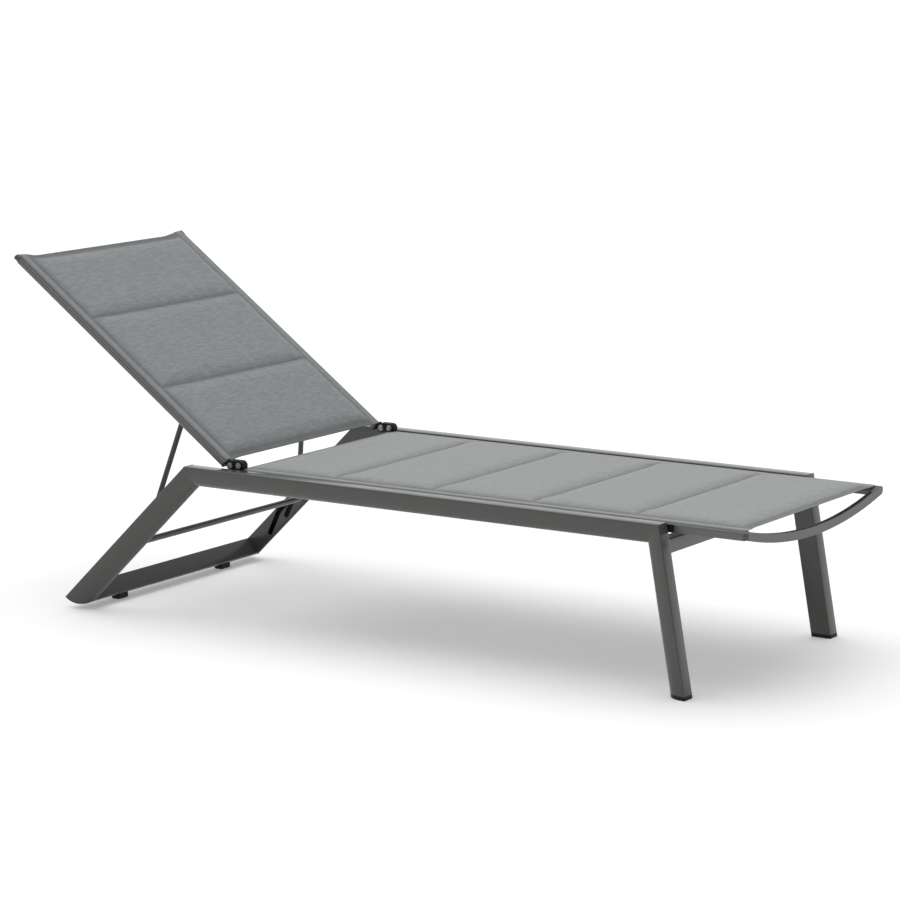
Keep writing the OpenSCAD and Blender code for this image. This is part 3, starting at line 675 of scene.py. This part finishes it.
def swell(obj, held, settings):
    """Cloth simulation that swells the padding between its seams, then caps how far a point moves."""
    group = obj.vertex_groups.new(name="held")
    for i, weight in enumerate(held):
        if weight:
            group.add([i], weight, "REPLACE")
    frames = 20
    cloth = obj.modifiers.new("Swell", "CLOTH")
    rules = cloth.settings
    rules.quality = 5
    rules.mass = 0.25
    rules.tension_stiffness = 12
    rules.compression_stiffness = 12
    rules.shear_stiffness = 4
    rules.bending_stiffness = 0.4
    rules.air_damping = 2
    rules.shrink_min = -0.012
    rules.use_pressure = True
    rules.uniform_pressure_force = settings.pressure
    rules.effector_weights.gravity = 0
    rules.vertex_group_mass = "held"
    cloth.collision_settings.use_collision = False
    scene = bpy.context.scene
    for step in range(frames):
        scene.frame_set(step + 1)
    shape = obj.evaluated_get(bpy.context.evaluated_depsgraph_get()).data
    rest = np.array([v.co for v in obj.data.vertices])
    moved = np.array([v.co for v in shape.vertices]) - rest
    obj.modifiers.remove(cloth)
    scene.frame_set(1)
    far = np.linalg.norm(moved, axis=1)
    cap = settings.swell_cap
    share = np.where(far > 1e-9, cap * np.tanh(far / cap) / np.maximum(far, 1e-9), 0)
    rest += moved * share[:, None]
    obj.data.vertices.foreach_set("co", rest.astype(np.float32).ravel())
    obj.data.update()
    obj.vertex_groups.clear()


def stitch_line(surface, a, b, up):
    """Stitches laid on a sling's surface along a straight line, as points and faces."""
    radius, sides, gap = 0.42 * MM, 6, 0.22
    girths = (0.35, 0.85, 1.0, 0.85, 0.35)  # along a stitch, as shares of the thread's radius
    heights = (-0.30, 0.12, 0.22, 0.12, -0.30)  # its ends dive into the cloth
    above = 0.03  # the search for the surface starts this far off
    length = (b - a).length
    count = max(1, round(length / STITCH))
    ahead = (b - a) / length
    across = up.cross(ahead)
    points, faces = [], []
    for i in range(count):
        spots = []
        for t in (i + gap / 2, i + 0.28, i + 0.5, i + 0.72, i + 1 - gap / 2):
            spot = a + ahead * (length * t / count)
            hit = surface.ray_cast(spot + up * above, -up)[0]
            spots.append(hit if hit else spot)
        base = len(points)
        for k, spot in enumerate(spots):
            centre = spot + up * heights[k] * radius
            for s in range(sides):
                turn = 2 * math.pi * s / sides
                out = across * math.cos(turn) + up * math.sin(turn)
                points.append(centre + out * radius * girths[k])
        for k in range(len(spots) - 1):
            for s in range(sides):
                c, d = base + k * sides + s, base + k * sides + (s + 1) % sides
                faces.append((c, d, d + sides, c + sides))
        faces.append(tuple(base + s for s in reversed(range(sides))))
        faces.append(tuple(base + (len(spots) - 1) * sides + s for s in range(sides)))
    return points, faces


def sew(name, sling, lines, body, material):
    """Rows of stitches on both skins of a sling along lines drawn in the sling's own frame."""
    mesh = sling.data
    surface = BVHTree.FromPolygons([v.co for v in mesh.vertices], [p.vertices for p in mesh.polygons])
    points, faces = [], []
    for up in (Vector((0, 0, 1)), Vector((0, 0, -1))):
        for a, b in lines:
            more, shape = stitch_line(surface, Vector(a), Vector(b), up)
            faces += [tuple(i + len(points) for i in f) for f in shape]
            points += more
    obj = new_piece(name, points, faces, body, material)
    obj.matrix_world = sling.matrix_world.copy()
    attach(obj, body)
    return obj


def seam_lines(seam_y, knots, z):
    """Cross seams, hem seams and the two lengthwise seams of a sling."""
    hem_y = 0.96 * seam_y  # hem seams stop short of the lengthwise ones
    lines = [((x, -seam_y, z), (x, seam_y, z)) for x in knots[1:-1]]
    lines += [((x, -hem_y, z), (x, hem_y, z)) for x in (knots[0], knots[-1])]
    lines += [((knots[0], s * seam_y, z), (knots[-1], s * seam_y, z)) for s in (-1, 1)]
    return lines


# ---- operators ----


class LOUNGER_OT_coat_frame(bpy.types.Operator):
    """Powder coats the aluminium tubes"""

    bl_idname = "lounger.coat_frame"
    bl_label = "Coat Frame"

    def execute(self, context):
        looks = context.scene.lounger_frame
        smoothing = smooth_by_angle()
        coat = powder_coat("satin_powder_coated_aluminium", looks.coat, looks.coat_shade)
        # Sling rails: the same powder coat in lighter colours, painted light
        rail_coat_painted_light = powder_coat("satin_powder_coat_rails_painted_light", looks.rail_coat_painted_light, looks.rail_patches_painted_light)
        dress_nodes(FRAME_NODES, coat, smoothing)
        dress_nodes(RAIL_NODES, rail_coat_painted_light, smoothing)
        return {"FINISHED"}


class LOUNGER_OT_weld_frame(bpy.types.Operator):
    """Lays the weld beads where the tubes meet"""

    bl_idname = "lounger.weld_frame"
    bl_label = "Weld Frame"

    def execute(self, context):
        sizes = context.scene.lounger_frame
        sink = 0.75 * sizes.flush_r  # a dressed mitre weld hardly stands proud
        coat = bpy.data.materials["satin_powder_coated_aluminium"]
        for hand in ("left", "right"):
            side = 1 if hand == "left" else -1
            mitres = {
                "bend": shared_rim(f"side_rail_{hand}", f"rear_leg_{hand}"),
                "corner": shared_rim(f"side_rail_{hand}", f"front_leg_{hand}"),
                "floor_bar": shared_rim(f"rear_leg_{hand}", "rear_floor_bar")}
            for place, rim in mitres.items():
                weld_bead(f"{place}_weld_{hand}", rim, sizes.flush_r, sink, sizes.ripple, "frame", coat)
            for tube in ("front_cross_tube", "rear_cross_tube"):
                weld_bead(f"{tube}_weld_{hand}", end_rim(tube, side), sizes.bead_r, 0,
                          sizes.ripple, "frame", coat)
        return {"FINISHED"}


class LOUNGER_OT_finish_fittings(bpy.types.Operator):
    """Gives the nylon, steel and cord parts their finishes"""

    bl_idname = "lounger.finish_fittings"
    bl_label = "Finish Fittings"

    def execute(self, context):
        looks = context.scene.lounger_fittings
        smoothing = bpy.data.node_groups["smooth_by_angle"]
        dress_nodes(NYLON_NODES, moulded_nylon(looks), smoothing, looks.bevel)
        dress_nodes(STEEL_NODES, brushed_stainless(looks), smoothing)
        dress_nodes(CORD_NODES, edge_cord(looks), smoothing)
        return {"FINISHED"}


class LOUNGER_OT_make_seat_sling(bpy.types.Operator):
    """Makes the padded seat sling and its stitching"""

    bl_idname = "lounger.make_seat_sling"
    bl_label = "Make Seat Sling"

    def execute(self, context):
        settings = context.scene.lounger_fabric
        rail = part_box("seat_rail_left")
        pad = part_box("seat_sling")
        first = pad[0].x + settings.seat_first_seam
        plan = {
            "start": pad[0].x, "end": rail[1].x, "z": rail[1].z, "groove": rail[1].y - GROOVE_IN,
            "seams": [first + i * settings.seat_seam_pitch for i in range(settings.seat_seams)],
            "ear_width": 34 * MM, "ear_reach": 60 * MM, "draw_start": 2 * MM, "draw_end": 4 * MM}
        cloth = sling_cloth("woven_pvc_coated_polyester_seat", settings.seat_cloth,
                            settings.seat_shade, settings.painted_seam_shade)
        thread = bonded_thread(settings)
        sling, seam_y, knots = padded_sling(
            "seat_sling_cloth", plan, settings, "frame", cloth, Matrix())
        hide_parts("seat_sling")
        sew("seat_sling_stitches", sling, seam_lines(seam_y, knots, plan["z"]), "frame", thread)
        return {"FINISHED"}


class LOUNGER_OT_make_back_sling(bpy.types.Operator):
    """Makes the padded backrest sling and its stitching"""

    bl_idname = "lounger.make_back_sling"
    bl_label = "Make Backrest Sling"

    def execute(self, context):
        settings = context.scene.lounger_fabric
        level = BACK_PLACE.inverted()
        rail = np.array([level @ Vector(p) for p in node_points("back_rail_left")])
        pad = np.array([level @ Vector(p) for p in node_points("back_sling")])
        bar = np.array([level @ Vector(p) for p in node_points("head_bar")])
        plan = {
            "start": bar[:, 0].min() + 1 * MM, "end": pad[:, 0].max(), "z": rail[:, 2].max(),
            "groove": rail[:, 1].max() - GROOVE_IN,
            "seams": [-settings.back_high_seam, -settings.back_low_seam],
            "ear_width": 40 * MM, "ear_reach": 60 * MM, "draw_start": 9 * MM, "draw_end": 3 * MM}
        # The same cloth as the seat, in darker colours that paint the backrest's shade
        cloth = sling_cloth("woven_pvc_coated_polyester_back_painted_shade", settings.back_cloth,
                            settings.back_shade, settings.painted_seam_shade)
        thread = bpy.data.materials["bonded_polyester_thread"]
        sling, seam_y, knots = padded_sling(
            "back_sling_cloth", plan, settings, "backrest", cloth, BACK_PLACE)
        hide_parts("back_sling")
        sew("back_sling_stitches", sling, seam_lines(seam_y, knots, plan["z"]), "backrest", thread)
        return {"FINISHED"}


class LOUNGER_OT_set_stage(bpy.types.Operator):
    """Sets up the pale floor, the soft light and the camera"""

    bl_idname = "lounger.set_stage"
    bl_label = "Set Stage"

    def execute(self, context):
        scene = context.scene
        stage = scene.lounger_stage
        scene.collection.objects.link(self.floor(stage))
        scene.world = self.room(stage)
        scene.collection.objects.link(self.top_light(stage))
        scene.view_settings.view_transform = "Standard"
        scene.camera = self.camera(stage)
        scene.collection.objects.link(scene.camera)
        return {"FINISHED"}

    def floor(self, stage):
        half = 500  # far enough that its edge stays out of low views
        mesh = bpy.data.meshes.new("studio_floor")
        mesh.from_pydata([(-half, -half, 0), (half, -half, 0), (half, half, 0), (-half, half, 0)], [],
                         [(0, 1, 2, 3)])
        floor = bpy.data.objects.new("studio_floor", mesh)
        coat_with(floor, painted_floor(stage))
        return floor

    def room(self, stage):
        """A white room: one wall lit, the one opposite dim, and both fading into an even ceiling."""
        wall_top, ceiling = 0.05, 0.65  # rise of a look, as a share of its length
        world = bpy.data.worlds.new("white_room")
        world.use_nodes = True
        world.node_tree.nodes.clear()
        room = world.node_tree
        way = add(room, "ShaderNodeTexCoord").outputs["Generated"]
        axes = add(room, "ShaderNodeSeparateXYZ", {0: way})
        lit_way = (math.cos(stage.lit_way), math.sin(stage.lit_way), 0)
        facing = add(room, "ShaderNodeVectorMath", {0: way, 1: lit_way}, operation="DOT_PRODUCT")
        wall = add(room, "ShaderNodeMapRange", {
            "Value": facing.outputs["Value"], "From Min": -1.0, "From Max": 1.0,
            "To Min": stage.dim_wall, "To Max": stage.lit_wall})
        height = add(room, "ShaderNodeMapRange", {
            "Value": axes.outputs["Z"], "From Min": wall_top, "From Max": ceiling,
            "To Min": wall.outputs[0], "To Max": stage.sky_light})
        glow = add(room, "ShaderNodeBackground", {"Color": (1, 1, 1, 1), "Strength": height.outputs[0]})
        add(room, "ShaderNodeOutputWorld", {"Surface": glow.outputs[0]})
        return world

    def top_light(self, stage):
        lamp = bpy.data.lights.new("wide_top_light", "SUN")
        lamp.energy = stage.top_light
        lamp.angle = stage.top_width
        light = bpy.data.objects.new("wide_top_light", lamp)
        light.rotation_euler = stage.top_turn
        return light

    def camera(self, stage):
        a, e, r = stage.azimuth, stage.elevation, stage.roll
        back = Vector((math.sin(a) * math.cos(e), -math.cos(a) * math.cos(e), math.sin(e)))
        right = Vector((math.cos(a), math.sin(a), 0))
        up = back.cross(right)
        aside = right * math.cos(r) + up * math.sin(r)
        above = up * math.cos(r) - right * math.sin(r)
        aim = (cad_box[0] + cad_box[1]) / 2 + Vector(stage.aim)
        data = bpy.data.cameras.new("studio_camera")
        data.lens = stage.lens
        data.clip_end = 1000  # sees the whole floor
        camera = bpy.data.objects.new("studio_camera", data)
        turn = Matrix((aside, above, back)).transposed().to_4x4()
        camera.matrix_world = Matrix.Translation(aim + back * stage.distance) @ turn
        return camera


class LOUNGER_PT_sidebar(bpy.types.Panel):
    """Lists the steps that dress the lounger"""

    bl_idname = "LOUNGER_PT_sidebar"
    bl_label = "Sun Lounger"
    bl_space_type = "VIEW_3D"
    bl_region_type = "UI"
    bl_category = "Lounger"

    def draw(self, context):
        for group in (FabricSettings, FrameSettings, FittingSettings, StageSettings):
            box = self.layout.box()
            for name in group.__annotations__:
                box.prop(getattr(context.scene, PLACES[group]), name)
        for step in STEPS:
            self.layout.operator(step.bl_idname)


PLACES = {
    FabricSettings: "lounger_fabric",
    FrameSettings: "lounger_frame",
    FittingSettings: "lounger_fittings",
    StageSettings: "lounger_stage",
}
STEPS = [
    LOUNGER_OT_coat_frame,
    LOUNGER_OT_weld_frame,
    LOUNGER_OT_finish_fittings,
    LOUNGER_OT_make_seat_sling,
    LOUNGER_OT_make_back_sling,
    LOUNGER_OT_set_stage,
]


def register():
    for group, place in PLACES.items():
        bpy.utils.register_class(group)
        setattr(bpy.types.Scene, place, bpy.props.PointerProperty(type=group))
    for step in STEPS:
        bpy.utils.register_class(step)
    bpy.utils.register_class(LOUNGER_PT_sidebar)


def unregister():
    bpy.utils.unregister_class(LOUNGER_PT_sidebar)
    for step in reversed(STEPS):
        bpy.utils.unregister_class(step)
    for group, place in PLACES.items():
        delattr(bpy.types.Scene, place)
        bpy.utils.unregister_class(group)


def main():
    register()
    bpy.ops.lounger.coat_frame()
    bpy.ops.lounger.weld_frame()
    bpy.ops.lounger.finish_fittings()
    bpy.ops.lounger.make_seat_sling()
    bpy.ops.lounger.make_back_sling()
    bpy.ops.lounger.set_stage()


if __name__ == "__main__":
    main()
